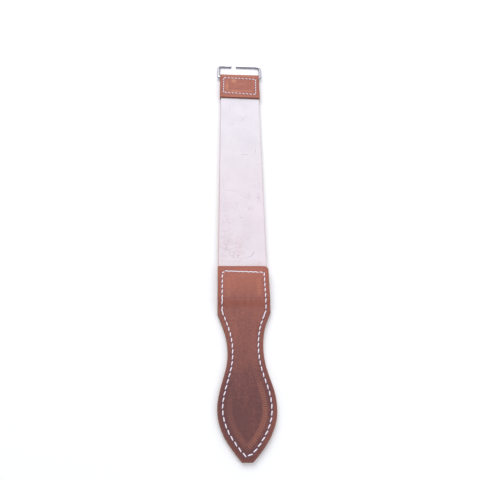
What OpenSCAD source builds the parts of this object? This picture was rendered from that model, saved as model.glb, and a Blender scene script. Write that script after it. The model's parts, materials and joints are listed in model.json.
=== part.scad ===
// Hanging razor strop: a leather strip with a sewn leather handle at one end
// and a folded leather tab that holds a wire ring at the other.
// The strop lies on its back: length along Y with the ring at +Y, width along X,
// smooth face up. Z = 0 is the surface that it lies on.

/* [Strip] */
// Width of the stropping strip
strip_w = 50.8; // [38:0.1:76]
// Thickness of the stropping strip, which is also the gap between the tab's flaps
strip_t = 3.5; // [3.4:0.1:5]
// Length of strip that shows between the tab and the handle
free_length = 254; // [150:1:400]
// Length of strip sewn between the two handle leaves
strip_in_handle = 37; // [30:1:44]

/* [Ring] */
// Outer width of the rectangular wire ring
ring_w = 61; // [60:0.1:90]
// Distance between the centre lines of the ring's two long bars
ring_h = 26; // [20:0.5:40]
// Bend radius of the ring's corners in the tab, on the wire's centre line
ring_corner_r = 2.8; // [2.2:0.1:4]
// Bend radius of the ring's far corners
ring_far_corner_r = 4.2; // [2.2:0.1:6]
// Width of the opening between the wire's ends, in the far bar
ring_gap = 6.2; // [0.5:0.1:8]
// Where the middle of that opening is, to the left of the ring's middle
ring_gap_offset = 7.8; // [0:0.1:12]
// Running clearance between the wire and the fold of the tab
ring_clearance = 0.05; // [0.02:0.01:0.1]

/* [Tab] */
// Thickness of the leather of the tab and of the handle leaves
leather_t = 2.4; // [1.6:0.1:3.2]
// Width of the folded tab
tab_w = 53.2; // [51:0.1:80]
// Distance from the ring's bar to the middle of the tab's cut edge
tab_reach = 43; // [38:0.5:80]
// How much shorter the tab's back flap is than its front one
back_flap_short = 3; // [0:0.5:3]
// Slant of the tab's hand-cut edge, in degrees
tab_slant = 1; // [0:0.5:4]

/* [Handle] */
// Length of the handle
handle_length = 186.3; // [186.3:0.1:220]
// Width of the handle's square end
handle_w = 52.9; // [51:0.1:76]
// Distance from the handle's square end to its right shoulder
shoulder_right = 50; // [46:0.5:54]
// Distance from the handle's square end to its left shoulder
shoulder_left = 51.5; // [46:0.5:54]
// Corner radius of the square end, right side
corner_right_r = 5; // [0.5:0.5:8]
// Corner radius of the square end, left side
corner_left_r = 0.8; // [0.5:0.1:8]
// Turn of the handle out of the strip's line, in degrees
handle_skew = 0.65; // [0:0.05:1]
// Sideways step of the handle's square end
handle_shift = 0.6; // [0:0.1:1]
// Length over which the front leaf steps down past the strip's end
step_length = 9; // [6:1:14]

/* [Stitching] */
// Diameter of the sewing thread
thread_d = 1.2; // [0.6:0.1:1.6]
// Share of each stitch's length that shows as thread
stitch_fill = 0.78; // [0.5:0.01:0.9]
// Stitch length along the handle's seam
handle_pitch = 5.75; // [3:0.05:8]
// Stitch length along the tab's seam and the handle's top row
tab_pitch = 4.8; // [3:0.05:8]
// Distance of the handle's seam from the leaf's edge
seam_inset = 4.8; // [3:0.1:6]
// Distance of the handle's top row of stitches from the square end, at its left
seam_top_inset = 6.2; // [3:0.1:7]
// How much further from the square end that row is at its right
seam_top_slant = 1.5; // [0:0.1:3]

/* [Hidden] */
$fn = 64;

// Wire: it fills the gap between the tab's flaps, less its running clearance.
fold_inner_r = strip_t / 2;
wire_r = fold_inner_r - ring_clearance;
fold_outer_r = fold_inner_r + leather_t;
ring_half = ring_w / 2 - wire_r;

// Heights of the layers, from the surface that the strop lies on.
z_mid = fold_outer_r;
strip_z0 = z_mid - strip_t / 2;
strip_z1 = z_mid + strip_t / 2;
front_top = strip_z1 + leather_t;
low_top = 2 * leather_t;

// The far bar of the ring rests on that surface, which tilts the ring.
ring_tilt = asin((z_mid - wire_r) / ring_h);

// Stations along Y, with the whole strop centred on the origin.
overall = handle_length + free_length + tab_reach + ring_h * cos(ring_tilt) + wire_r;
y_tip = -overall / 2;
y_handle = y_tip + handle_length;
y_tab = y_handle + free_length;
y_ring = y_tab + tab_reach;
y_bend_upper = y_tab - free_length / 3;
y_bend_lower = y_handle + free_length / 3;
strip_top_end = y_ring - fold_inner_r - 0.7;
strip_bottom_end = y_handle - strip_in_handle;
step_start = strip_in_handle + 0.4;

// Where the strip bends, the end on the ring's side stops flat in front of the
// rounded end on the handle's side, which turns about its own centre.
bend_gap = 0.3;

// Leaf-shaped part of the handle, cut by hand and so not quite even:
// [distance from the square end, width left of the middle, width right of it].
leaf_stations = [
    [66, 21.1, 20.3], [78, 17.9, 18.0], [90, 16.8, 17.4], [102, 17.6, 18.6],
    [114, 20.6, 21.6], [128, 24.5, 25.7], [141, 26.5, 27.2], [153, 25.2, 25.9],
    [165, 20.7, 21.1], [176, 13.5, 13.8], [handle_length, 5.2, 4.3]
];
left = 1;
right = 2;
spline_steps = 5;

// Where the handle's seam turns round in the tip, and where its sides stop
// before that.
seam_tip = [handle_length - 4.1, -1.5];
seam_end_inset = 6.3;

// The seam cuts across the square end's left corner.
seam_corner_cut = 2.6;

// The handle's seam has four runs, each from one corner hole to the next: down
// the right side, up the left side, across the cut corner, and the top row. Some
// stitches nearly touch the next one: those counted here from a run's start, or
// from its end if negative, and all of the top row.
joined_stitches = [[7], [-8, -6], [], [0, 1, 2, 3, 4, 5, 6]];
joined_fill = 0.92;

// Corners of the tab's seam, from the ring's bar: left top, right top, right
// bottom, left bottom. The rows slant, as sewn by hand.
tab_seam = [[-21.4, -5], [21.8, -6.9], [21.2, -36.7], [-21.8, -34.1]];

// Relief in the ends of the fold, where the ring's corners turn.
relief_r = fold_inner_r + 0.45;
relief_depth = 0.9;

// ---- curves ----

// Catmull-Rom curve through p1 and p2.
function curve_point(p0, p1, p2, p3, t) =
    0.5 * (2 * p1 + (p2 - p0) * t + (2 * p0 - 5 * p1 + 4 * p2 - p3) * t * t
    + (3 * p1 - p0 - 3 * p2 + p3) * t * t * t);

// The given points joined by that curve, in "steps" pieces for each span.
function smooth(p, steps) = let(n = len(p)) concat(
    [for (i = [0 : n - 2]) for (k = [0 : steps - 1])
        curve_point(p[max(i - 1, 0)], p[i], p[i + 1], p[min(i + 2, n - 1)], k / steps)],
    [p[n - 1]]
);

// One side of the handle from its shoulder to its tip, as [distance, half width].
function leaf_side(shoulder, side) = smooth(
    concat([[shoulder, handle_w / 2]], [for (p = leaf_stations) [p[0], p[side]]]),
    spline_steps
);

// The same curve moved inwards by the seam's distance.
function inset_side(side) = [for (i = [0 : len(side) - 1])
    let(d = side[min(i + 1, len(side) - 1)] - side[max(i - 1, 0)])
    side[i] - seam_inset * [-d.y, d.x] / norm(d)];

// Seam of one side, from its top corner to the tip.
function seam_side(shoulder, side) = concat(
    [[seam_top_inset + (side == right ? seam_top_slant : 0), handle_w / 2 - seam_inset]],
    [for (p = inset_side(leaf_side(shoulder, side)))
        if (p.x < handle_length - seam_end_inset && p.y > 1) p]
);

function reversed(p) = [for (i = [len(p) - 1 : -1 : 0]) p[i]];

// Sum of the lengths of a path's first n spans.
function run(p, n) = n == 0 ? 0 : norm(p[n] - p[n - 1]) + run(p, n - 1);

// Point at distance d along a path.
function along(p, d, i = 0) = let(span = norm(p[i + 1] - p[i]))
    d <= span || i == len(p) - 2
    ? p[i] + (p[i + 1] - p[i]) * min(d / span, 1)
    : along(p, d - span, i + 1);

// ---- the handle's own frame ----

// A handle point, [distance from the square end, sideways], in the strop's frame.
function handle_point(s, x) = [
    handle_shift + x * cos(handle_skew) + s * sin(handle_skew),
    y_handle - s * cos(handle_skew) + x * sin(handle_skew)
];

// Top of the front leaf: over the strip, then one leaf lower past its end.
function front_z(s) = let(t = min(max((s - step_start) / step_length, 0), 1))
    front_top - (front_top - low_top) * t * t * (3 - 2 * t);

// Paths of the four runs of the handle's seam.
handle_seam = let(
    down = seam_side(shoulder_right, right),
    up = [for (p = reversed(seam_side(shoulder_left, left))) [p.x, -p.y]],
    corner = up[len(up) - 1],
    low_corner = corner + [seam_corner_cut, 0],
    top_corner = corner + [0, seam_corner_cut]
) [
    concat(down, [seam_tip]),
    concat([seam_tip], [for (i = [0 : len(up) - 2]) up[i]], [low_corner]),
    [low_corner, top_corner],
    [top_corner, down[0]]
];

// Share of a handle stitch's length that shows as thread.
function handle_fill(k, i, count) =
    i < count - 1 && len([for (j = joined_stitches[k]) if (j == i || j == i - count) j]) > 0
    ? joined_fill : stitch_fill;

module handle_frame() {
    translate([handle_shift, y_handle, 0]) rotate([0, 0, handle_skew]) children();
}

module handle_outline() {
    right_side = leaf_side(shoulder_right, right);
    left_side = leaf_side(shoulder_left, left);
    half = handle_w / 2;
    arc = [0 : 15 : 90];
    polygon(concat(
        [for (a = arc) [half - corner_right_r + corner_right_r * sin(a),
            -corner_right_r + corner_right_r * cos(a)]],
        [for (p = right_side) [p.y, -p.x]],
        [for (p = reversed(left_side)) [-p.y, -p.x]],
        [for (a = arc) [-half + corner_left_r - corner_left_r * cos(a),
            -corner_left_r + corner_left_r * sin(a)]]
    ));
}

// ---- thread ----

// One stitch: a round stick of thread between two points.
module stitch(a, b) {
    d = b - a;
    flat = norm([d.x, d.y]);
    translate(a) rotate([0, atan2(flat, d.z), atan2(d.y, d.x)])
        cylinder(h = norm(d), d = thread_d, $fn = 16);
}

// ---- leather ----

module strip_piece(y0, y1) {
    translate([-strip_w / 2, y0, strip_z0]) cube([strip_w, y1 - y0, strip_t]);
}

// A strip piece whose end at y1 is rounded about the axis that it bends on.
module bending_piece(y0, y1) {
    strip_piece(y0, y1);
    translate([0, y1, z_mid]) rotate([0, 90, 0])
        cylinder(h = strip_w, r = strip_t / 2, center = true);
}

module strip_upper() {
    color("#ece2ea") strip_piece(y_bend_upper + strip_t / 2 + bend_gap, strip_top_end);
}

module strip_middle() {
    color("#ece2ea") bending_piece(y_bend_lower + strip_t / 2 + bend_gap, y_bend_upper);
}

module strip_lower() {
    color("#ece2ea") bending_piece(strip_bottom_end, y_bend_lower);
}

module tab_section() {
    difference() {
        union() {
            circle(r = fold_outer_r);
            translate([-2 * tab_reach, -fold_outer_r])
                square([2 * tab_reach, 2 * fold_outer_r]);
        }
        circle(r = fold_inner_r);
        translate([-3 * tab_reach, -fold_inner_r])
            square([3 * tab_reach, 2 * fold_inner_r]);
    }
}

module hanger_tab() {
    color("#b97d69") difference() {
        translate([0, y_ring, z_mid]) rotate([90, 0, 90])
            linear_extrude(tab_w, center = true) tab_section();
        for (side = [-1, 1])
            translate([side * tab_w / 2, y_ring, z_mid]) rotate([0, 90, 0])
                cylinder(h = 2 * relief_depth, r = relief_r, center = true);
        for (flap = [0, 1])
            translate([0, y_tab + flap * back_flap_short, z_mid]) rotate([0, 0, -tab_slant])
                translate([-tab_w, -3 * tab_reach, -flap * 2 * fold_outer_r])
                    cube([2 * tab_w, 3 * tab_reach, 2 * fold_outer_r]);
    }
}

module handle_back() {
    color("#8f5850") handle_frame() linear_extrude(leather_t) handle_outline();
}

// Side view of the front leaf: distances along the handle and heights.
module front_section() {
    far = handle_length + 1;
    bend = [for (k = [0 : 6]) step_start + step_length * k / 6];
    polygon(concat(
        [[-1, front_top]],
        [for (s = bend) [s, front_z(s)]],
        [[far, low_top], [far, low_top - leather_t]],
        [for (s = reversed(bend)) [s, front_z(s) - leather_t]],
        [[-1, strip_z1]]
    ));
}

module handle_front() {
    color("#9d6259") handle_frame() intersection() {
        linear_extrude(front_top + 1) handle_outline();
        rotate([90, 0, -90]) linear_extrude(2 * handle_w, center = true) front_section();
    }
}

// ---- seams ----

// Stitches along the handle's seam, on the surface whose height is given.
module handle_stitches(front) {
    for (k = [0 : 3]) {
        path = handle_seam[k];
        total = run(path, len(path) - 1);
        count = max(1, round(total / (k == 3 ? tab_pitch : handle_pitch)));
        pitch = total / count;
        for (i = [0 : count - 1]) {
            p = along(path, i * pitch + 0.1);
            q = along(path, (i + handle_fill(k, i, count)) * pitch);
            zp = front ? front_z(p.x) : thread_d / 2;
            zq = front ? front_z(q.x) : thread_d / 2;
            stitch(concat(handle_point(p.x, p.y), zp), concat(handle_point(q.x, q.y), zq));
        }
    }
}

// Stitches along the tab's seam, at one height.
module tab_stitches(z) {
    for (k = [0 : 3]) {
        a = tab_seam[k];
        b = tab_seam[(k + 1) % 4];
        count = round(norm(b - a) / tab_pitch);
        step = (b - a) / count;
        for (i = [0 : count - 1]) {
            p = a + i * step;
            q = p + stitch_fill * step;
            stitch([p.x, y_ring + p.y, z], [q.x, y_ring + q.y, z]);
        }
    }
}

module tab_needle_thread() {
    color("#e9e0f2") tab_stitches(2 * z_mid);
}

module tab_bobbin_thread() {
    color("#e9e0f2") tab_stitches(thread_d / 2);
}

module handle_needle_thread() {
    color("#e9e0f2") handle_stitches(true);
}

module handle_bobbin_thread() {
    color("#e9e0f2") handle_stitches(false);
}

// ---- ring ----

// A straight length of wire along X between two stations.
module ring_bar(x0, x1) {
    translate([x0, 0, 0]) rotate([0, 90, 0]) cylinder(h = x1 - x0, r = wire_r);
}

// A quarter bend of the wire with centre-line radius r, from +X round to +Y.
module ring_corner(r) {
    rotate_extrude(angle = 90) translate([r, 0]) circle(r = wire_r);
}

module hanger_ring() {
    near_x = ring_half - ring_corner_r;
    far_x = ring_half - ring_far_corner_r;
    side_y = ring_h - ring_far_corner_r;
    color("#cfd0d6") translate([0, y_ring, z_mid]) rotate([-ring_tilt, 0, 0]) {
        ring_bar(-near_x, near_x);
        translate([0, ring_h, 0]) {
            ring_bar(-far_x, -ring_gap_offset - ring_gap / 2);
            ring_bar(-ring_gap_offset + ring_gap / 2, far_x);
        }
        for (side = [-1, 1]) {
            translate([side * ring_half, 0, 0]) rotate([0, 0, 90])
                ring_bar(ring_corner_r, side_y);
            translate([side * far_x, side_y, 0]) rotate([0, 0, side > 0 ? 0 : 90])
                ring_corner(ring_far_corner_r);
            translate([side * near_x, ring_corner_r, 0])
                rotate([0, 0, side > 0 ? 270 : 180]) ring_corner(ring_corner_r);
        }
    }
}

hanger_ring();
hanger_tab();
tab_needle_thread();
tab_bobbin_thread();
strip_upper();
strip_middle();
strip_lower();
handle_front();
handle_back();
handle_needle_thread();
handle_bobbin_thread();
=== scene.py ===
"""Looks of a hanging razor strop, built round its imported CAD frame.

Lengths in this script are millimetres in the row frame, and MM turns them into Blender's metres.
A leather piece is made flat first, in its own sheet coordinates: s runs along the piece and x
across it. Its path then says where each s lies, and which way the outer face looks.
"""
import json
import math

import bmesh
import bpy
import numpy as np
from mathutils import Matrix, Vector


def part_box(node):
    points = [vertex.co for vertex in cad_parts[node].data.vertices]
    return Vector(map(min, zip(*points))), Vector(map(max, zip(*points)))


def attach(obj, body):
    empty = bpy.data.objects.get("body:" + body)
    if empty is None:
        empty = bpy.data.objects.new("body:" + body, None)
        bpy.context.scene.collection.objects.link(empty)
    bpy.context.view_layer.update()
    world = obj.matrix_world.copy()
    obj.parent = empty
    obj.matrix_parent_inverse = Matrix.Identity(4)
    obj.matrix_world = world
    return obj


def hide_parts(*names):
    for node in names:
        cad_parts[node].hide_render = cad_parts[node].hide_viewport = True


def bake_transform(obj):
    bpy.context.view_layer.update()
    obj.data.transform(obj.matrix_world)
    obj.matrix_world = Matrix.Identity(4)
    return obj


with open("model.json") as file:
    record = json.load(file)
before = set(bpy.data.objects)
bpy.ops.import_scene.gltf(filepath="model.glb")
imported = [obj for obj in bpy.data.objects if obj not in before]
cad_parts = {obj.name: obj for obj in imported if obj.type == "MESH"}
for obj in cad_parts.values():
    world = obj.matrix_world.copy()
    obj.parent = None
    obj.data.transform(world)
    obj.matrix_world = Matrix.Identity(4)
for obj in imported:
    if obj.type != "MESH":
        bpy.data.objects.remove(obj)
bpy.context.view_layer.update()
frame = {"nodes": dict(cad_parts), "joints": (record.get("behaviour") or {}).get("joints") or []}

MM = 0.001
rng = np.random.default_rng(7)

# ---- sizes and places, from the CAD frame ----


def span(node):
    """Lowest and highest corner of a CAD node, in mm."""
    low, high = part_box(node)
    return np.array(low) / MM, np.array(high) / MM


joint_at = {j["name"]: np.array(j["pos_m"]) / MM for j in frame["joints"]}
LEATHER_T = span("handle_back")[1][2]
STRIP_LOW, STRIP_HIGH = span("strip_upper")
STRIP_T = STRIP_HIGH[2] - STRIP_LOW[2]
STRIP_HALF = STRIP_HIGH[0]
STRIP_TOP_END = STRIP_HIGH[1]
STRIP_BOTTOM_END = span("strip_lower")[0][1]
FRONT_TOP = span("tab_needle_thread")[1][2] - span("tab_bobbin_thread")[1][2] / 2
Y_RING, Z_MID = joint_at["ring_swing"][1:]
Y_BEND_UPPER = joint_at["strip_bend_upper"][1]
Y_BEND_LOWER = joint_at["strip_bend_lower"][1]
Y_STRIP_JOIN = (Y_BEND_UPPER + Y_BEND_LOWER) / 2
TAB_HALF = span("hanger_tab")[1][0]
WIRE_R = STRIP_T / 2 - 0.05
THREAD_R = span("tab_bobbin_thread")[1][2] / 2

# As in the CAD model: the handle's turn and side step, the slant of the tab's cut edge and its
# shorter back flap, the length over which the front leaf steps down past the end of the strip, and
# the ring's bends, opening (from one x to the other) and height between its two long bars.
HANDLE_SKEW = math.radians(0.65)
HANDLE_SHIFT = 0.6
TAB_SLANT = math.tan(math.radians(1))
STEP_LENGTH = 9.0
BACK_FLAP_SHORT = 3.0
RING_CORNER_R = 2.8
RING_FAR_CORNER_R = 4.2
RING_GAP = (-10.9, -4.7)
RING_H = 26.0


def cad_points(node):
    return np.array([v.co for v in frame["nodes"][node].data.vertices], float) / MM


def handle_outline():
    """The leaf's left and right edge as (s, x) points, and the Y of its square end."""
    p = cad_points("handle_back")
    p = np.unique(np.round(p[p[:, 2] < 0.01, :2], 3), axis=0)
    y_end = (p[:, 1] - (p[:, 0] - HANDLE_SHIFT) * math.tan(HANDLE_SKEW)).max()
    s, x = to_handle(p[:, 0], p[:, 1], y_end)
    sides = []
    for sign in (-1, 1):
        side = np.array(sorted((a, b) for a, b in zip(s, x) if b * sign > 0))
        keep = np.append(np.diff(side[:, 0]) > 0.01, True)
        sides.append(side[keep])
    return sides[0], sides[1], y_end


def to_handle(x, y, y_end):
    """Row frame to handle frame: distance from the square end, and sideways."""
    dx, dy = x - HANDLE_SHIFT, y - y_end
    c, n = math.cos(HANDLE_SKEW), math.sin(HANDLE_SKEW)
    return dx * n - dy * c, dx * c + dy * n


def from_handle(x, y):
    """Handle frame, with y = -s, to row frame."""
    c, n = math.cos(HANDLE_SKEW), math.sin(HANDLE_SKEW)
    return HANDLE_SHIFT + x * c - y * n, Y_HANDLE + x * n + y * c


EDGE_LEFT, EDGE_RIGHT, Y_HANDLE = handle_outline()
HANDLE_LENGTH = EDGE_LEFT[-1, 0]
LOW_TOP = 2 * LEATHER_T
STEP_START = Y_HANDLE - STRIP_BOTTOM_END + 0.4
TAB_REACH = Y_RING - (span("hanger_tab")[0][1] + TAB_HALF * TAB_SLANT)

# Spacing of the ribs that the press foot left beside the handle's seam, and the greatest gap across
# which two stitches look joined.
RIB_PITCH = 2.35
JOINED_GAP = 0.8

# Needle holes, and the angle above which two faces meet in a sharp line.
HOLE_R = 0.8
HOLE_DEPTH = 0.4
SHARP_ANGLE = math.radians(50)


def stitches(node):
    """The two ends of each stitch of a CAD thread node, in mm."""
    bm = bmesh.new()
    bm.from_mesh(frame["nodes"][node].data)
    bmesh.ops.remove_doubles(bm, verts=bm.verts, dist=1e-6)
    found, seen = [], set()
    for start in bm.verts:
        if start in seen:
            continue
        seen.add(start)
        island, front = [start], [start]
        while front:
            for edge in front.pop().link_edges:
                for v in edge.verts:
                    if v not in seen:
                        seen.add(v)
                        island.append(v)
                        front.append(v)
        p = np.array([v.co for v in island]) / MM
        centre = p.mean(0)
        axis = np.linalg.svd(p - centre)[2][0]
        reach = (p - centre) @ axis
        found.append((centre + axis * reach.min(), centre + axis * reach.max()))
    bm.free()
    return np.array(found)


# ---- curves and fields ----


def smooth_curve(points, at):
    """Monotone cubic curve through (s, x) points, with no overshoot at corners."""
    s, x = points[:, 0], points[:, 1]
    h, slope = np.diff(s), np.diff(x) / np.diff(s)
    m = np.zeros(len(s))
    same = slope[:-1] * slope[1:] > 0
    w1, w2 = 2 * h[1:] + h[:-1], h[1:] + 2 * h[:-1]
    safe = np.where(same, slope[:-1] * slope[1:], 1)
    mean = (w1 + w2) * safe / np.where(same, w1 * slope[1:] + w2 * slope[:-1], 1)
    m[1:-1] = np.where(same, mean, 0)
    m[0], m[-1] = slope[0], slope[-1]
    i = np.clip(np.searchsorted(s, at) - 1, 0, len(s) - 2)
    t = np.clip((at - s[i]) / h[i], 0, 1)
    a, b = x[i], x[i + 1]
    return (
        a * (1 + 2 * t) * (1 - t) ** 2
        + m[i] * h[i] * t * (1 - t) ** 2
        + b * t * t * (3 - 2 * t)
        + m[i + 1] * h[i] * t * t * (t - 1)
    )


def smoothstep(low, high, value):
    t = np.clip((value - low) / (high - low), 0, 1)
    return t * t * (3 - 2 * t)


def waves(s, x, size, seed):
    """Gentle uneven field from -1 to 1, with features about size mm across."""
    r = np.random.default_rng(seed)
    total = np.zeros(np.shape(s))
    for _ in range(7):
        angle, phase = r.uniform(0, math.tau, 2)
        pitch = size * r.uniform(0.7, 1.8)
        total += np.sin((s * math.cos(angle) + x * math.sin(angle)) * math.tau / pitch + phase)
    return total / 4


def near_path(s, x, path):
    """Distance from each point to a path of (s, x) points, and how far along it the nearest is."""
    a, b = path[:-1], path[1:]
    d = b - a
    length = np.maximum(np.hypot(d[:, 0], d[:, 1]), 1e-9)
    arc0 = np.concatenate([[0], np.cumsum(length)[:-1]])
    p = np.stack([s.ravel(), x.ravel()], 1)
    best, arc = np.full(len(p), 1e9), np.zeros(len(p))
    for k in range(len(d)):
        t = np.clip(((p - a[k]) @ d[k]) / length[k] ** 2, 0, 1)
        gap = np.hypot(*(p - a[k] - t[:, None] * d[k]).T)
        nearer = gap < best
        best[nearer] = gap[nearer]
        arc[nearer] = arc0[k] + t[nearer] * length[k]
    return best.reshape(s.shape), arc.reshape(s.shape)


def rounding(distance, radius):
    """Depth lost to a rounded edge, at a distance from it."""
    inside = np.clip(radius - distance, 0, radius)
    return radius - np.sqrt(radius**2 - inside**2)


def pressed_seam(s, x, seams, width=0.85, depth=0.3):
    """Depth that stitches press into the leather: a trench under each and a pit at each hole."""
    trench, pits = np.full(np.shape(s), 1e9), np.zeros(np.shape(s))
    for a, b in seams:
        d = b - a
        t = np.clip(((s - a[0]) * d[0] + (x - a[1]) * d[1]) / (d @ d), 0, 1)
        trench = np.minimum(trench, np.hypot(s - a[0] - t * d[0], x - a[1] - t * d[1]))
        for hole in (a, b):
            away = (s - hole[0]) ** 2 + (x - hole[1]) ** 2
            pits = np.maximum(pits, np.exp(-(away / HOLE_R**2)))
    return depth * np.exp(-((trench / width) ** 2)) + HOLE_DEPTH * pits


def seam_shade(s, x, seams):
    """How far, from 0 to 1, the leather beside the thread is darkened: painted shade in the pressed
    seam.
    """
    return np.clip(pressed_seam(s, x, seams, 1.0) / 0.4, 0, 1)


# ---- mesh making ----

# Distances from an edge at which the grid has a line, close together where the edge is rounded.
EDGE_STEPS = [0, 0.1, 0.24, 0.42, 0.64, 0.95, 1.4, 2.0, 2.7, 3.3, 3.8, 4.3, 4.8, 5.3, 5.8, 6.4, 7.1]

# Lines of points round a leather piece's cut edge, between its two faces.
WALL_LINES = 3


def graded(length, step, fine_start=True, fine_end=True):
    """Stations from 0 to length, about a step apart, with EDGE_STEPS at its fine ends."""
    head = [e for e in EDGE_STEPS if e < length * 0.3] if fine_start else [0]
    tail = [length - e for e in reversed(EDGE_STEPS) if e < length * 0.3] if fine_end else [length]
    middle = np.linspace(head[-1], tail[0], max(2, round((tail[0] - head[-1]) / step) + 1))[1:-1]
    return np.concatenate([head, middle, tail])


def across(left, right, middle_lines):
    """Grid lines across each row, from left to right: EDGE_STEPS, then evenly spaced."""
    width = (right - left)[:, None]
    squeeze = np.minimum(1, width * 0.44 / EDGE_STEPS[-1])
    head = np.array(EDGE_STEPS)[None, :] * squeeze
    share = np.linspace(0, 1, middle_lines + 2)[1:-1][None, :]
    inner = head[:, -1:] + (width - 2 * head[:, -1:]) * share
    return left[:, None] + np.concatenate([head, inner, width - head[:, ::-1]], 1)


def border_loop(rows, cols):
    """Grid places (row, column) all the way round a grid's border."""
    there = [(0, j) for j in range(cols)] + [(i, cols - 1) for i in range(1, rows)]
    back = [(rows - 1, j) for j in range(cols - 2, -1, -1)] + [(i, 0) for i in range(rows - 2, 0, -1)]
    return there + back


def leather_faces(rows, cols, rims):
    """Faces of a closed sheet: its outer face, its inner face and the wall through the rims."""
    faces, count = [], rows * cols
    for i in range(rows - 1):
        for j in range(cols - 1):
            a, b = i * cols + j, i * cols + j + 1
            c, d = b + cols, a + cols
            faces.append((a, b, c, d))
            faces.append((count + d, count + c, count + b, count + a))
    for upper, lower in zip(rims, rims[1:]):
        for k in range(len(upper)):
            n = (k + 1) % len(upper)
            faces.append((int(upper[n]), int(upper[k]), int(lower[k]), int(lower[n])))
    return faces


def leather_piece(name, s, x, path, thickness, outer, inner=None, round_outer=0.55,
                  round_inner=0.35, cut_ends=(True, True), place=None, fields=None):
    """A closed sheet of leather over the grid (s, x).

    outer and inner give each face's extra height, place turns (x, y) into the row frame, and
    fields gives the values that the outer face's material reads.
    """
    rows, cols = s.shape
    loop = border_loop(rows, cols)
    border = np.array([(s[i, j], x[i, j]) for i, j in loop + loop[:1]])
    sides = [np.stack([s[:, k], x[:, k]], 1) for k in (0, -1)]
    ends = [np.stack([s[k], x[k]], 1) for k, cut in ((0, cut_ends[0]), (-1, cut_ends[1])) if cut]
    edge = np.min([near_path(s, x, line)[0] for line in sides + ends], 0)
    arc = near_path(s, x, border)[1]
    high = thickness / 2 + np.minimum(outer(s, x, edge, arc), 0) - rounding(edge, round_outer)
    low = -thickness / 2 + rounding(edge, round_inner)
    if inner is not None:
        low = low + inner(s, x, edge)

    def position(s_, x_, height):
        y, z, ny, nz = path(s_)
        y, z = y + ny * height, z + nz * height
        x_, y = place(x_, y) if place else (x_, y)
        return np.stack([x_ + 0 * y, y, z], -1)

    sheets = [position(s, x, high).reshape(-1, 3), position(s, x, low).reshape(-1, 3)]
    border_s, border_x = border[:-1, 0], border[:-1, 1]
    flat = np.array([i * cols + j for i, j in loop])
    top, bottom = high.ravel()[flat], low.ravel()[flat]
    for k in range(1, WALL_LINES + 1):
        height = top + (bottom - top) * k / (WALL_LINES + 1)
        sheets.append(position(border_s, border_x, height))
    count, ring = rows * cols, len(loop)
    walls = [2 * count + k * ring + np.arange(ring) for k in range(WALL_LINES)]
    faces = leather_faces(rows, cols, [flat] + walls + [count + flat])
    made = mesh_piece(name, np.concatenate(sheets), faces)
    wall_s, wall_x = np.tile(border_s, WALL_LINES), np.tile(border_x, WALL_LINES)
    wall_depth = np.repeat(-thickness * np.arange(1, WALL_LINES + 1) / (WALL_LINES + 1), ring)
    cut = np.concatenate([np.zeros(2 * count), np.ones(WALL_LINES * ring)])
    cut[:2 * count] = np.tile(1 - smoothstep(0.0, 0.25, edge.ravel()), 2)
    point = np.concatenate([
        np.stack([x.ravel(), s.ravel(), 0 * s.ravel()], 1),
        np.stack([x.ravel(), s.ravel(), 0 * s.ravel() - thickness], 1),
        np.stack([wall_x, wall_s, wall_depth], 1),
    ])
    store(made, "sheet", point * MM)
    store(made, "edge", np.concatenate([edge.ravel(), edge.ravel(), 0 * wall_s]))
    store(made, "cut", cut)
    store(made, "outer", np.concatenate([np.ones(count), np.zeros(count), 0.5 + 0 * wall_s]))
    for key, value in (fields(s, x, edge, arc) if fields else {}).items():
        store(made, key, np.concatenate([value.ravel(), 0 * value.ravel(), 0 * wall_s]))
    return made


def mesh_piece(name, points, faces):
    """A smooth-shaded mesh object from points in mm, with its faces turned outwards."""
    mesh = bpy.data.meshes.new(name)
    corners = [tuple(int(i) for i in f) for f in faces]
    mesh.from_pydata((np.asarray(points) * MM).tolist(), [], corners)
    bm = bmesh.new()
    bm.from_mesh(mesh)
    bmesh.ops.recalc_face_normals(bm, faces=bm.faces)
    bm.to_mesh(mesh)
    bm.free()
    mesh.shade_smooth()
    mesh.set_sharp_from_angle(angle=SHARP_ANGLE)
    made = bpy.data.objects.new(name, mesh)
    bpy.context.scene.collection.objects.link(made)
    return made


def store(piece, key, values):
    """Keeps a value for each point of a piece, for its material to read."""
    kind = "FLOAT_VECTOR" if np.ndim(values) == 2 else "FLOAT"
    attribute = piece.data.attributes.new(key, kind, "POINT")
    field = "vector" if kind == "FLOAT_VECTOR" else "value"
    attribute.data.foreach_set(field, np.asarray(values, np.float32).ravel())


def tube(points, side, radius, around, close=False, twist=0.0, lobes=0, lobe_depth=0.0):
    """Points and faces of a round or lobed tube along a path that side is never parallel to."""
    p = np.asarray(points, float)
    ahead = np.roll(p, -1, 0) - np.roll(p, 1, 0) if close else np.gradient(p, axis=0)
    ahead /= np.linalg.norm(ahead, axis=1)[:, None]
    u = np.cross(ahead, side)
    u /= np.linalg.norm(u, axis=1)[:, None]
    v = np.cross(u, ahead)
    steps = np.linalg.norm(np.diff(p, axis=0), axis=1)
    run = np.concatenate([[0], np.cumsum(steps)])
    angle = np.linspace(0, math.tau, around, endpoint=False)[None, :]
    r = np.broadcast_to(np.asarray(radius, float), (len(p),))[:, None]
    r = r * (1 + lobe_depth * np.cos(lobes * (angle + twist * run[:, None])))
    outward = np.cos(angle)[..., None] * u[:, None] + np.sin(angle)[..., None] * v[:, None]
    ring = p[:, None] + r[..., None] * outward
    faces, n = [], len(p)
    for i in range(n if close else n - 1):
        for j in range(around):
            k, m = (j + 1) % around, (i + 1) % n
            faces.append((i * around + j, i * around + k, m * around + k, m * around + j))
    if not close:
        faces.append(tuple(range(around))[::-1])
        faces.append(tuple((n - 1) * around + j for j in range(around)))
    return ring.reshape(-1, 3), faces


# ---- materials ----


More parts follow.
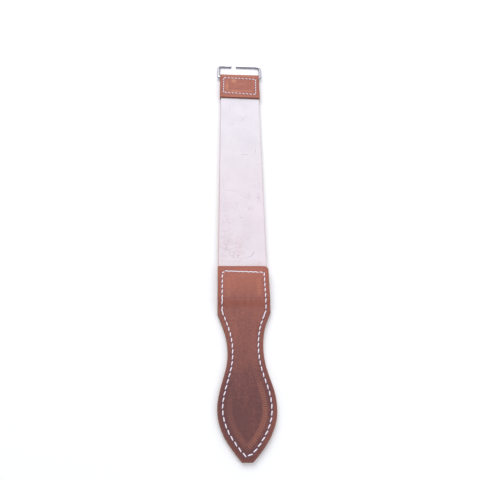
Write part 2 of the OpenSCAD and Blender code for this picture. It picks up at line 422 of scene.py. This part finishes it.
def srgb(r, g, b):
    """Linear colour of a screen colour given from 0 to 255."""
    linear = [c / 255 / 12.92 if c <= 10 else ((c / 255 + 0.055) / 1.055) ** 2.4 for c in (r, g, b)]
    return (*linear, 1)


class Shader:
    """A material's node tree, with one short call for each kind of node."""

    def __init__(self, name):
        self.material = bpy.data.materials.new(name)
        self.material.use_nodes = True
        self.tree = self.material.node_tree
        self.surface = self.tree.nodes["Principled BSDF"]

    def put(self, socket, value):
        if isinstance(value, bpy.types.NodeSocket):
            self.tree.links.new(value, socket)
        else:
            socket.default_value = value

    def add(self, kind, inputs, output=0, **settings):
        node = self.tree.nodes.new(kind)
        for key, value in settings.items():
            setattr(node, key, value)
        for key, value in inputs.items():
            self.put(node.inputs[key], value)
        return node.outputs[output]

    def read(self, key, vector=False):
        return self.add("ShaderNodeAttribute", {}, 1 if vector else 2, attribute_name=key)

    def calc(self, operation, a, b=0.0, clamp=False):
        return self.add("ShaderNodeMath", {0: a, 1: b}, operation=operation, use_clamp=clamp)

    def noise(self, vector, scale, detail=3.0, roughness=0.55, distortion=0.0):
        inputs = {"Vector": vector, "Scale": scale, "Detail": detail, "Roughness": roughness,
                  "Distortion": distortion}
        return self.add("ShaderNodeTexNoise", inputs)

    def cells(self, vector, scale, feature="F1"):
        return self.add("ShaderNodeTexVoronoi", {"Vector": vector, "Scale": scale}, feature=feature)

    def stretch(self, vector, factors):
        return self.add("ShaderNodeVectorMath", {0: vector, 1: factors}, operation="MULTIPLY")

    def band(self, value, low, high, to_low=0.0, to_high=1.0):
        inputs = {0: value, 1: low, 2: high, 3: to_low, 4: to_high}
        return self.add("ShaderNodeMapRange", inputs, interpolation_type="SMOOTHSTEP")

    def mix(self, factor, a, b, blend="MIX"):
        inputs = {0: factor, 6: a, 7: b}
        return self.add("ShaderNodeMix", inputs, 2, data_type="RGBA", blend_type=blend)

    def bump(self, height, distance, strength=1.0, normal=None):
        inputs = {"Height": height, "Distance": distance, "Strength": strength}
        if normal is not None:
            inputs["Normal"] = normal
        return self.add("ShaderNodeBump", inputs)

    def finish(self, **inputs):
        for key, value in inputs.items():
            self.put(self.surface.inputs[key.replace("_", " ")], value)
        return self.material


def brown_leather():
    """Dyed, smooth vegetable-tanned leather: mottled, with painted shade in its creases, near its
    edges and beside its seams, raw at its cut edges.
    """
    m = Shader("brown_leather")
    at = m.read("sheet", vector=True)
    tone, edge, cut = m.read("tone"), m.read("edge"), m.read("cut")
    rib, rub = m.read("rib"), m.read("rub")
    cloud = m.noise(at, 42, 4, 0.6, 0.4)
    mottle = m.noise(at, 380, 4, 0.65)
    fleck = m.noise(at, 900, 2, 0.6)
    streak = m.noise(m.stretch(at, (1, 0.16, 1)), 260, 3, 0.6)
    shade = m.calc("ADD", tone, m.band(cloud, 0.25, 0.75, -0.06, 0.06))
    shade = m.calc("ADD", shade, m.band(mottle, 0.3, 0.7, -0.09, 0.09))
    shade = m.calc("ADD", shade, m.band(streak, 0.3, 0.7, -0.06, 0.06), clamp=True)
    colour = m.mix(shade, srgb(168, 97, 80), srgb(97, 53, 53))
    colour = m.mix(m.band(fleck, 0.58, 0.8, 0, 0.22), colour, srgb(84, 44, 36))
    # lighter on the press foot's ribs: partly the leather's own lightening where pressed, partly a
    # painted highlight on the rib crests
    colour = m.mix(m.calc("MULTIPLY", rib, 0.5, clamp=True), colour, srgb(186, 116, 88))
    colour = m.mix(m.calc("MULTIPLY", rub, 0.8, clamp=True), colour, srgb(204, 138, 106))
    # painted shade: darker within about 5 mm of each edge, where the surface rolls down towards it
    near_edge = m.band(edge, 0.3, 5.2, 0.24, 0)
    colour = m.mix(near_edge, colour, srgb(122, 58, 42))
    fibres = m.noise(m.stretch(at, (1, 1, 6)), 700, 3, 0.7)
    raw = m.mix(fibres, srgb(92, 48, 30), srgb(140, 78, 48))
    colour = m.mix(cut, colour, raw)
    pores = m.cells(at, 1500)
    grain = m.calc("ADD", m.calc("MULTIPLY", pores, 0.6), m.noise(at, 2600, 3, 0.6))
    normal = m.bump(grain, 0.00009, 0.55)
    normal = m.bump(m.noise(at, 420, 4, 0.6), 0.00025, 0.4, normal)
    rough = m.band(mottle, 0.3, 0.7, 0.5, 0.62)
    rough = m.calc("ADD", rough, m.calc("MULTIPLY", cut, 0.2))
    return m.finish(Base_Color=colour, Roughness=rough, Normal=normal, Specular_IOR_Level=0.42)


def pale_leather():
    """Undyed stropping leather: smooth, matt, marked and stained by use, with painted shade on its
    left rim.
    """
    m = Shader("pale_leather")
    at = m.read("sheet", vector=True)
    cut, outer = m.read("cut"), m.read("outer")
    cloud = m.noise(at, 26, 4, 0.55, 0.3)
    streak = m.noise(m.stretch(at, (1, 0.22, 1)), 150, 4, 0.6)
    speck = m.noise(at, 620, 3, 0.6)
    speckle = m.band(speck, 0.5, 0.72)
    colour = m.mix(m.band(cloud, 0.3, 0.7), srgb(226, 220, 226), srgb(217, 211, 218))
    colour = m.mix(m.band(streak, 0.5, 0.8, 0, 0.4), colour, srgb(212, 202, 206))
    # pinker towards the handle
    colour = m.mix(m.read("age"), colour, srgb(228, 200, 207))
    colour = m.mix(m.band(speck, 0.64, 0.78, 0, 0.3), colour, srgb(186, 166, 170))
    patch = m.band(m.noise(at, 260, 5, 0.7), 0.4, 0.6)
    stain = m.calc("MULTIPLY", m.read("stain"), m.calc("MAXIMUM", patch, 0.35))
    colour = m.mix(m.calc("MULTIPLY", stain, 0.5), colour, srgb(206, 158, 142))
    dirt = m.calc("MULTIPLY", patch, m.calc("MAXIMUM", speckle, 0.3))
    smudge = m.calc("MULTIPLY", m.read("smudge"), dirt)
    colour = m.mix(m.calc("MULTIPLY", smudge, 0.85, clamp=True), colour, srgb(146, 122, 136))
    for start, end, width, depth in STRIP_MARKS:
        mark = m.calc("MULTIPLY", scratch(m, at, start, end, width), depth)
        mark = m.calc("MULTIPLY", mark, m.band(streak, 0.2, 0.5, 0.6, 1))
        colour = m.mix(mark, colour, srgb(104, 82, 92))
    along = m.band(m.add("ShaderNodeSeparateXYZ", {0: at}, 1), -0.04, 0.15)
    # painted shade on the rounded rim: redder towards the handle, lilac further up
    colour = m.mix(m.read("rim"), colour, m.mix(along, srgb(196, 138, 132), srgb(196, 172, 190)))
    flesh = m.noise(m.stretch(at, (1, 0.5, 1)), 900, 4, 0.7)
    rough_side = m.mix(flesh, srgb(226, 208, 196), srgb(198, 174, 158))
    colour = m.mix(m.band(outer, 0.6, 0.4), colour, rough_side)
    fibres = m.noise(m.stretch(at, (1, 1, 6)), 700, 3, 0.7)
    raw = m.mix(along, srgb(158, 98, 90), srgb(160, 128, 146))
    colour = m.mix(cut, colour, m.mix(m.calc("MULTIPLY", fibres, 0.5), raw, srgb(206, 170, 164)))
    grain = m.calc("ADD", m.calc("MULTIPLY", m.cells(at, 1900), 0.5), m.noise(at, 3000, 3, 0.6))
    normal = m.bump(grain, 0.00006, 0.4)
    normal = m.bump(streak, 0.0002, 0.25, normal)
    return m.finish(Base_Color=colour, Roughness=0.62, Normal=normal, Specular_IOR_Level=0.35)


def scratch(m, at, start, end, width):
    """How much of a straight mark from start to end, (x, s) in mm, covers a point of the sheet."""
    a = Vector((start[0], start[1], 0)) * MM
    along = Vector((end[0], end[1], 0)) * MM - a
    off = m.add("ShaderNodeVectorMath", {0: at, 1: a}, operation="SUBTRACT")
    off = m.stretch(off, (1, 1, 0))
    share = m.add("ShaderNodeVectorMath", {0: off, 1: along}, 1, operation="DOT_PRODUCT")
    share = m.calc("MULTIPLY", share, 1 / along.length_squared, clamp=True)
    point = m.add("ShaderNodeVectorMath", {0: along, "Scale": share}, operation="SCALE")
    gap = m.add("ShaderNodeVectorMath", {0: off, 1: point}, 1, operation="DISTANCE")
    return m.band(gap, width * 0.15 * MM, width * 0.5 * MM, 1, 0)


def waxed_thread():
    """Thick off-white thread, soiled here and there, with painted shade where it dives into its
    holes.
    """
    m = Shader("waxed_thread")
    at = m.add("ShaderNodeTexCoord", {}, 3)
    fuzz = m.noise(at, 3500, 3, 0.7)
    soil = m.noise(at, 160, 3, 0.6)
    colour = m.mix(m.band(fuzz, 0.3, 0.7), srgb(252, 248, 254), srgb(236, 228, 244))
    colour = m.mix(m.band(soil, 0.6, 0.85, 0, 0.3), colour, srgb(214, 196, 206))
    # painted shade: the thread darkens as it dips towards its holes
    colour = m.mix(m.band(m.read("depth"), 0.15, 0.8, 0, 0.8), colour, srgb(150, 128, 160))
    normal = m.bump(fuzz, 0.00005, 0.5)
    return m.finish(Base_Color=colour, Roughness=0.6, Normal=normal, Sheen_Weight=0.2)


def plated_wire():
    """Nickel plate with a painted highlight along the wire's top and bottom and painted shade on its
    flanks, patchy and duller here and there.
    """
    m = Shader("plated_wire")
    at = m.add("ShaderNodeTexCoord", {}, 3)
    dull_and_shine = m.noise(at, 240, 4, 0.6)
    flank_shade = m.calc("ADD", m.read("flank_shade"), m.band(dull_and_shine, 0.3, 0.8, -0.08, 0.12))
    # painted highlight and painted shade: near-white on the wire's top and bottom, grey on its flanks
    colour = m.mix(m.band(flank_shade, 0.0, 0.5), srgb(234, 232, 240), srgb(150, 147, 160))
    rough = m.band(flank_shade, 0.1, 0.8, 0.3, 0.42)
    return m.finish(Base_Color=colour, Metallic=1.0, Roughness=rough)


def paper_floor():
    m = Shader("paper_floor")
    at = m.add("ShaderNodeTexCoord", {}, 3)
    tint = m.mix(m.noise(at, 60, 2), srgb(250, 250, 251), srgb(247, 247, 248))
    return m.finish(Base_Color=tint, Roughness=0.9, Specular_IOR_Level=0.1)


# Marks of use on the stropping face. Scratches: start and end in (x, s), width and darkness.
STRIP_MARKS = [
    ((1.7, 142.6), (4.2, 148.9), 1.1, 0.28),
    ((4.2, 148.9), (9.4, 153.4), 0.9, 0.2),
    ((-10, 137), (-8, 136.8), 1.4, 0.25),
    ((1, 86.8), (9.2, 86.5), 1.0, 0.34),
    ((-17, 31.9), (-6.4, 29.7), 0.8, 0.24),
    ((-2, -6.4), (0.8, -6.6), 1.2, 0.25),
    ((-15.5, -13), (-12.8, -14.8), 1.2, 0.26),
    ((3.6, -58.7), (9.3, -56.4), 0.9, 0.3),
    ((9.3, -56.4), (12.7, -51.4), 1.1, 0.45),
    ((17.5, 90), (19, 96), 1.3, 0.24),
    ((-13.2, 174), (-13.6, 162), 1.0, 0.16),
]
# Grey-violet smudges, and brown stains: middle in (x, s), half width, half length and strength.
SMUDGES = [
    (7, 24, 4, 5, 0.7), (19.5, 22, 1.8, 6, 1.0), (10, 6.4, 3.5, 3, 1.0), (6, -16, 4, 3, 0.45),
    (4, -36, 6, 9, 0.5), (-17, -42, 7, 14, 1.0), (-6, -56, 8, 10, 0.6), (-18, -12, 8, 8, 0.4),
    (20, 60, 5, 30, 0.3), (-4, 10, 16, 12, 0.35), (10, 100, 10, 25, 0.25), (-20, 20, 4, 40, 0.3),
]
STAINS = [
    (-15, -38, 9, 12, 0.4), (-4, -50, 5, 14, 0.6), (18, -66, 9, 4, 0.6), (-20, -62, 7, 7, 0.4),
]

# Lighter, worn spots on the tab's front, as above.
TAB_WEAR = [
    (-8, -11, 2.6, 3.5, 1.0), (-17, -22, 1.6, 9, 0.7), (3, -17, 7, 2.0, 0.3), (11, -30, 7, 2, 0.4),
    (-6, -31, 9, 1.6, 0.6), (0, -2, 30, 1.5, 0.3), (0, -41, 30, 1.6, 0.4),
]

# ---- the pieces ----


def strip_path(s):
    return s, Z_MID + 0 * s, 0 * s, 1 + 0 * s


def strip_piece(name, y_low, y_high, ends):
    """One length of the stropping strip. Its ends are cut ones, or meet the next length."""
    s = y_low + graded(y_high - y_low, 1.1, fine_start=ends[0], fine_end=ends[1])
    left, right = np.full(len(s), -STRIP_HALF), np.full(len(s), STRIP_HALF)
    x = across(left, right, 30)
    s = np.repeat(s[:, None], x.shape[1], 1)

    def face(s_, x_, edge, arc):
        sewn = near_tab_line(s_, x_)
        return -0.06 + 0.05 * waves(s_, x_, 60, 3) - 0.12 * sewn

    def fields(s_, x_, edge, arc):
        age = 0.22 * smoothstep(150, 20, s_)
        # painted shade on the rounded edge, strong on the left side and faint on the right
        rim = smoothstep(1.2, 0.1, edge) * np.where(x_ < 0, 0.75, 0.12)
        stain, smudge = blots(s_, x_, STAINS), blots(s_, x_, SMUDGES)
        return {"stain": stain, "smudge": smudge, "age": age, "rim": rim}

    return leather_piece(name, s, x, strip_path, STRIP_T, face, cut_ends=ends,
                         round_outer=0.4, fields=fields)


def blots(s, x, places):
    """Soft-edged spots, each (x, s, half width, half length, strength)."""
    total = 0 * s
    for cx, cs, rx, rs, strength in places:
        total = total + strength * np.exp(-(((x - cx) / rx) ** 2 + ((s - cs) / rs) ** 2))
    return np.clip(total, 0, 1)


def near_tab_line(s, x):
    """The faint line scored across the strip, next to the tab's cut edge."""
    line = Y_RING - TAB_REACH - 4.0 - x * TAB_SLANT
    return np.exp(-(((s - line) / 0.7) ** 2))


def tab_path(s):
    """Front flap up to s = 0, then round the ring's bar, then the back flap."""
    r = (STRIP_T + LEATHER_T) / 2
    turn = np.clip(s / r, 0, math.pi)
    front, back = np.minimum(s, 0), np.maximum(s - math.pi * r, 0)
    y = Y_RING + r * np.sin(turn) + front - back
    return y, Z_MID + r * np.cos(turn), np.sin(turn), np.cos(turn)


def tab_piece():
    fold = math.pi * (STRIP_T + LEATHER_T) / 2
    x = across(np.array([-TAB_HALF]), np.array([TAB_HALF]), 40)[0]
    corner = rounding(np.maximum(TAB_HALF - x, 0), 1.6) + rounding(np.maximum(TAB_HALF + x, 0), 0.7)
    flap = TAB_REACH + x * TAB_SLANT - corner
    front = graded(TAB_REACH, 0.55, True, False) / TAB_REACH - 1
    turn = np.linspace(0, 1, 25)[1:]
    back = graded(TAB_REACH, 0.8, False, True)[1:] / TAB_REACH
    s = np.concatenate([front[:, None] * flap, turn[:, None] * fold + 0 * flap,
                        fold + back[:, None] * (flap - BACK_FLAP_SHORT)])
    x = np.repeat(x[None, :], len(s), 0)
    needle, bobbin = stitches("tab_needle_thread"), stitches("tab_bobbin_thread")
    sewn = [np.array([[p[1] - Y_RING, p[0]] for p in pair]) for pair in needle]
    sewn += [np.array([[fold + Y_RING - p[1], p[0]] for p in pair]) for pair in bobbin]

    def face(s_, x_, edge, arc):
        swell = 0.12 * smoothstep(0, 1.6, edge)
        return -0.14 + swell - pressed_seam(s_, x_, sewn) + 0.06 * waves(s_, x_, 24, 5)

    def lining(s_, x_, edge):
        fold_zone = smoothstep(-2.5, -0.5, s_) * smoothstep(fold + 2.5, fold + 0.5, s_)
        return 0.5 * fold_zone * smoothstep(TAB_HALF - 1.2, TAB_HALF - 0.8, np.abs(x_))

    def fields(s_, x_, edge, arc):
        tone = 0.15 + 0.07 * waves(s_, x_, 30, 8) + 0.09 * waves(s_, x_, 6, 9)
        # the last term is painted shade beside the stitches
        tone += 0.05 * waves(s_, 0.2 * x_, 2.6, 10) + 0.14 * seam_shade(s_, x_, sewn)
        rub = blots(s_, x_, TAB_WEAR)
        rub += 0.35 * smoothstep(-2.0, 2.0, s_) * smoothstep(fold + 2, fold - 2, s_)
        return {"tone": tone, "rub": rub, "rib": 0 * s_}

    return leather_piece("folded_tab", s, x, tab_path, LEATHER_T, face, inner=lining, fields=fields)


def front_z(s):
    """Top of the handle's front leaf: over the strip, then lower past its end."""
    return FRONT_TOP - (FRONT_TOP - LOW_TOP) * smoothstep(STEP_START, STEP_START + STEP_LENGTH, s)


def front_path(s):
    return -s, front_z(s) - LEATHER_T / 2, 0 * s, 1 + 0 * s


def back_path(s):
    return -s, LEATHER_T / 2 + 0 * s, 0 * s, -1 + 0 * s


def handle_leaf(name, path, thread, row_step, front):
    """One leaf of the handle. The front one also shows the press foot's ribs beside the seam."""
    s = graded(HANDLE_LENGTH, row_step)
    x = across(smooth_curve(EDGE_LEFT, s), smooth_curve(EDGE_RIGHT, s), 64 if front else 22)
    s = np.repeat(s[:, None], x.shape[1], 1)
    sewn = []
    for pair in stitches(thread):
        ends_s, ends_x = to_handle(pair[:, 0], pair[:, 1], Y_HANDLE)
        sewn.append(np.stack([ends_s, ends_x], 1))

    def ribs(s_, x_, edge, arc):
        band = smoothstep(8.0, 9.2, edge) * smoothstep(13.8, 12.6, edge)
        fade_in = np.where(x_ > 0, smoothstep(108, 132, s_), smoothstep(112, 160, s_))
        low = fade_in * smoothstep(182, 172, s_) * np.where(x_ > 0, 0.95, 0.5)
        high = smoothstep(12, 17, s_) * smoothstep(36, 32, s_) * np.where(x_ > 0, 1.15, 0.7)
        neck = smoothstep(44, 52, s_) * smoothstep(120, 104, s_) * np.where(x_ > 0, 0.26, 0.16)
        return band * (low + high + neck)

    def ridge(arc):
        return (0.5 + 0.5 * np.cos(arc * math.tau / RIB_PITCH)) ** 1.4

    def face(s_, x_, edge, arc):
        swell = 0.14 * smoothstep(0, 1.6, edge)
        height = -0.16 + swell - pressed_seam(s_, x_, sewn) + 0.07 * waves(s_, x_, 34, 11)
        if front:
            height = height + ribs(s_, x_, edge, arc) * (0.22 * ridge(arc) - 0.1)
        return height

    def fields(s_, x_, edge, arc):
        tone = 0.1 + 0.47 * smoothstep(0, 60, s_) + 0.43 * smoothstep(50, 150, s_)
        tone += 0.04 * waves(s_, x_, 40, 4)
        # painted shade: a thin dark line in the crease where the front leaf starts to step down
        tone += 0.15 * np.exp(-(((s_ - STEP_START + 1) / 0.9) ** 2))
        down = np.clip((s_ - STEP_START) / STEP_LENGTH, 0, 1)
        neck = smoothstep(60, 80, s_) * smoothstep(110, 90, s_)
        # painted light: the first term lightens the step's slope to offset the shade it gets
        tone -= 0.14 * 4 * down * (1 - down) + 0.05 * neck
        # painted light and shade: towards the tip the leaf is lighter on its right side and darker on
        # its left, most near its edges
        margin = smoothstep(8, 3, edge) * smoothstep(100, 140, s_)
        tone -= (0.06 + 0.24 * margin) * x_ / 27 * smoothstep(100, 150, s_)
        # painted shade beside the stitches
        tone += 0.16 * seam_shade(s_, x_, sewn)
        track = ribs(s_, x_, edge, arc)
        rib = track * (0.12 + 0.88 * ridge(arc)) * (1 if front else 0)
        return {"tone": tone, "rib": rib, "rub": 0.22 * smoothstep(1.3, 0.5, edge)}

    return leather_piece(name, s, x, path, LEATHER_T, face, place=from_handle, fields=fields)


def sewn_in_order(node):
    """The CAD stitches as (start, end, gap before, gap after), in sewing order, in mm."""
    pairs = stitches(node)
    middle = pairs.mean(1)
    for i, (a, b) in enumerate(pairs):
        ahead = middle[(i + 1) % len(pairs)]
        if np.linalg.norm(a - ahead) < np.linalg.norm(b - ahead):
            pairs[i] = b.copy(), a.copy()
    gap = np.linalg.norm(np.roll(pairs[:, 0], -1, 0) - pairs[:, 1], axis=1)
    return zip(pairs[:, 0], pairs[:, 1], np.roll(gap, 1), gap)


def thread_piece(name, node, outward, lean, dive):
    """Twisted thread laid along each of a CAD node's stitches.

    outward is the way its face looks, lean turns each stitch a little out of the seam's line, and
    dive says how soon a stitch goes down towards its holes: a low power goes down early.
    """
    points, faces, depths = [], [], []
    t = np.linspace(0, 1, 17)
    around = 15
    for a, b, before, after in sewn_in_order(node):
        along = (b - a) / np.linalg.norm(b - a)
        side = np.cross(along, (0, 0, 1))
        run_on = np.where(t < 0.5, before, after) < JOINED_GAP
        dip = np.abs(2 * t - 1) ** dive * np.where(run_on, 0.5, 1.05)
        a = a - along * (0.45 if before < JOINED_GAP else 0.05)
        b = b + along * (0.45 if after < JOINED_GAP else 0.05)
        line = a + (b - a) * t[:, None] + side * (rng.normal(lean, 0.06) * (2 * t - 1))[:, None]
        line[:, 2] -= outward * dip
        swell = THREAD_R * (0.9 - 0.18 * np.abs(2 * t - 1) ** 3)
        p, f = tube(line, side, swell, around, twist=math.tau / 4.2, lobes=3, lobe_depth=0.11)
        first = len(points) * len(p)
        faces += [tuple(i + first for i in face) for face in f]
        points.append(p)
        depths.append(np.repeat(dip, around))
    made = mesh_piece(name, np.concatenate(points), faces)
    store(made, "depth", np.concatenate(depths))
    return made


def ring_corner(cx, cy, r, start):
    """Points of a quarter bend, turning clockwise from a start angle in degrees."""
    angles = np.radians(start - np.arange(0, 91, 7.5))
    return [(cx + r * math.cos(a), cy + r * math.sin(a)) for a in angles]


def ring_piece():
    """The ring: one wire bent into a rectangle, its sheared ends left apart in the far bar."""
    low, high = span("hanger_ring")
    half = high[0] - WIRE_R
    tilt = math.atan2(Z_MID - WIRE_R, high[1] - WIRE_R - Y_RING)
    near, far = half - RING_CORNER_R, half - RING_FAR_CORNER_R
    side_y = RING_H - RING_FAR_CORNER_R
    line = [(x, RING_H) for x in np.linspace(RING_GAP[1], far, 24)[:-1]]
    line += ring_corner(far, side_y, RING_FAR_CORNER_R, 90)
    line += [(half, y) for y in np.linspace(side_y, RING_CORNER_R, 12)[1:-1]]
    line += ring_corner(near, RING_CORNER_R, RING_CORNER_R, 0)
    line += [(x, 0) for x in np.linspace(near, -near, 40)[1:-1]]
    line += ring_corner(-near, RING_CORNER_R, RING_CORNER_R, -90)
    line += [(-half, y) for y in np.linspace(RING_CORNER_R, side_y, 12)[1:-1]]
    line += ring_corner(-far, side_y, RING_FAR_CORNER_R, -180)
    line += [(x, RING_H) for x in np.linspace(-far, RING_GAP[0], 16)[1:]]
    line = np.array(line)
    ends = [(0.12, 0.3), (0.4, 0.1), (0.9, 0.0)]
    first = [(line[0, 0] + step, RING_H) for step, _ in ends]
    last = [(line[-1, 0] - step, RING_H) for step, _ in reversed(ends)]
    line = np.concatenate([line[:1], first, line[1:-1], last, line[-1:]])
    radius = np.full(len(line), WIRE_R)
    radius[:3] = radius[-1:-4:-1] = WIRE_R - 0.55, WIRE_R - 0.3, WIRE_R - 0.1
    flat = np.stack([line[:, 0], line[:, 1], 0 * line[:, 0]], 1)
    p, faces = tube(flat, (0, 0, 1), radius, 40)
    # 0 on the wire's top and bottom, 1 on its sides in the ring's plane: where the material paints
    # its highlight and its shade
    flank_shade = 1 - np.abs(p[:, 2]) / WIRE_R
    c, n = math.cos(tilt), math.sin(tilt)
    y, z = p[:, 1] * c + p[:, 2] * n, p[:, 2] * c - p[:, 1] * n
    p = np.stack([p[:, 0], Y_RING + y, Z_MID + z], 1)
    made = mesh_piece("wire_ring", p, faces)
    store(made, "flank_shade", flank_shade)
    return made


# ---- camera, light and floor ----


def camera():
    """A short lens above the handle and a little to its left, turned a little."""
    place, aim = Vector((-24.43, -306.54, 441.84)) * MM, Vector((-2.12, -36.15, 5.9)) * MM
    roll, focal = math.radians(4.82), 35.56
    data = bpy.data.cameras.new("camera")
    data.lens, data.sensor_width = focal, 36
    data.clip_start, data.clip_end = 0.01, 50
    cam = bpy.data.objects.new("camera", data)
    cam.location = place
    turn = (aim - place).to_track_quat("-Z", "Y").to_euler()
    cam.rotation_euler = turn
    cam.rotation_euler.rotate_axis("Z", roll)
    bpy.context.scene.collection.objects.link(cam)
    bpy.context.scene.camera = cam


def area_light(name, place, aim, size, power, colour=(1, 1, 1)):
    data = bpy.data.lights.new(name, "AREA")
    data.shape, data.size, data.energy, data.color = "DISK", size, power, colour
    light = bpy.data.objects.new(name, data)
    light.location = place
    light.rotation_euler = (Vector(aim) - Vector(place)).to_track_quat("-Z", "Y").to_euler()
    bpy.context.scene.collection.objects.link(light)


def studio():
    scene = bpy.context.scene
    scene.view_settings.view_transform = "Standard"
    world = bpy.data.worlds.new("soft_white")
    world.use_nodes = True
    world.node_tree.nodes["Background"].inputs["Color"].default_value = (0.93, 0.95, 1, 1)
    world.node_tree.nodes["Background"].inputs["Strength"].default_value = 0.66
    scene.world = world
    area_light("key", (-0.35, 0.9, 1.3), (0, 0.05, 0), 1.5, 15, (1, 0.99, 0.98))
    area_light("fill", (0.8, -0.6, 1.2), (0, -0.05, 0), 1.2, 5, (0.96, 0.98, 1))
    mesh = bpy.data.meshes.new("floor")
    half = 4.0
    corners = [(-half, -half, 0), (half, -half, 0), (half, half, 0), (-half, half, 0)]
    mesh.from_pydata(corners, [], [(0, 1, 2, 3)])
    floor = bpy.data.objects.new("floor", mesh)
    floor.location.z = -0.0002
    floor.data.materials.append(paper_floor())
    scene.collection.objects.link(floor)


def dress(piece, material, nodes):
    piece.data.materials.append(material)
    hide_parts(*nodes)


camera()
studio()
brown, pale, thread, wire = brown_leather(), pale_leather(), waxed_thread(), plated_wire()

ring = ring_piece()
dress(ring, wire, ["hanger_ring"])
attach(ring, "ring")

tab = tab_piece()
dress(tab, brown, ["hanger_tab"])
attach(tab, "hanger")

upper = strip_piece("strop_strip_upper", Y_STRIP_JOIN, STRIP_TOP_END, (False, True))
lower = strip_piece("strop_strip_lower", STRIP_BOTTOM_END, Y_STRIP_JOIN, (True, False))
dress(upper, pale, ["strip_upper", "strip_middle"])
dress(lower, pale, ["strip_lower", "strip_middle"])
for piece, joint, above, below in (
    (upper, "strip_bend_upper", "hanger", "strap_middle"),
    (lower, "strip_bend_lower", "strap_middle", "handle"),
):
    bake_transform(piece)

front_leaf = handle_leaf("handle_front_leaf", front_path, "handle_needle_thread", 0.45, True)
back_leaf = handle_leaf("handle_back_leaf", back_path, "handle_bobbin_thread", 0.9, False)
dress(front_leaf, brown, ["handle_front"])
dress(back_leaf, brown, ["handle_back"])
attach(front_leaf, "handle")
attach(back_leaf, "handle")

for name, node, outward, lean, dive, body in (
    ("tab_front_stitches", "tab_needle_thread", 1, 0.55, 1.9, "hanger"),
    ("tab_back_stitches", "tab_bobbin_thread", -1, 0.1, 3.2, "hanger"),
    ("handle_front_stitches", "handle_needle_thread", 1, 0.3, 3.6, "handle"),
    ("handle_back_stitches", "handle_bobbin_thread", -1, 0.1, 3.2, "handle"),
):
    stitching = thread_piece(name, node, outward, lean, dive)
    dress(stitching, thread, [node])
    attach(stitching, body)
